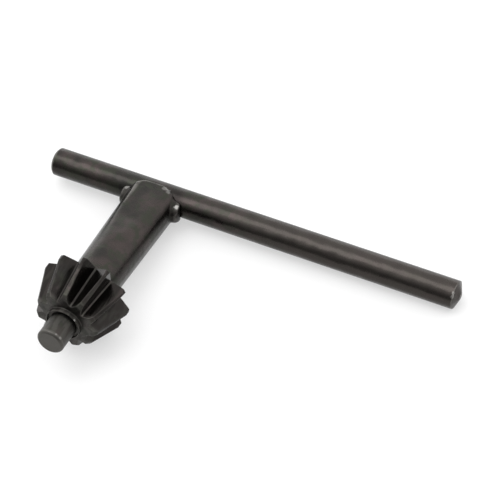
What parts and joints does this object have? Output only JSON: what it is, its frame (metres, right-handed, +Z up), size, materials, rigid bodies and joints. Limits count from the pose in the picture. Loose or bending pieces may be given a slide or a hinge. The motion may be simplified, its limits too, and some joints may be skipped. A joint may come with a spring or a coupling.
{
  "type": "drill chuck key",
  "caption": "T-handled chuck key: a bevel pinion with a pilot pin on a tapered round shank, and a round cross bar seated off-centre in the flattened head.",
  "frame": {"origin": "middle of the part's plan box, on the table that it lies on", "axes": "+X along the cross bar towards its long arm, +Z up from the table, -Y the way the pilot pin points, tipped up by 9.5 degrees because the key rests on its pinion, its head and the end of its long arm"},
  "size_m": [0.0952, 0.051, 0.0194],
  "materials": {
    "key_body": "black oxide over forged and milled steel, satin, thin oil film",
    "cross_bar": "black oxide over drawn steel bar, satin"
  },
  "bodies": {
    "root": {"key_body": "key_body", "cross_bar": "cross_bar"}
  },
  "joints": []
}
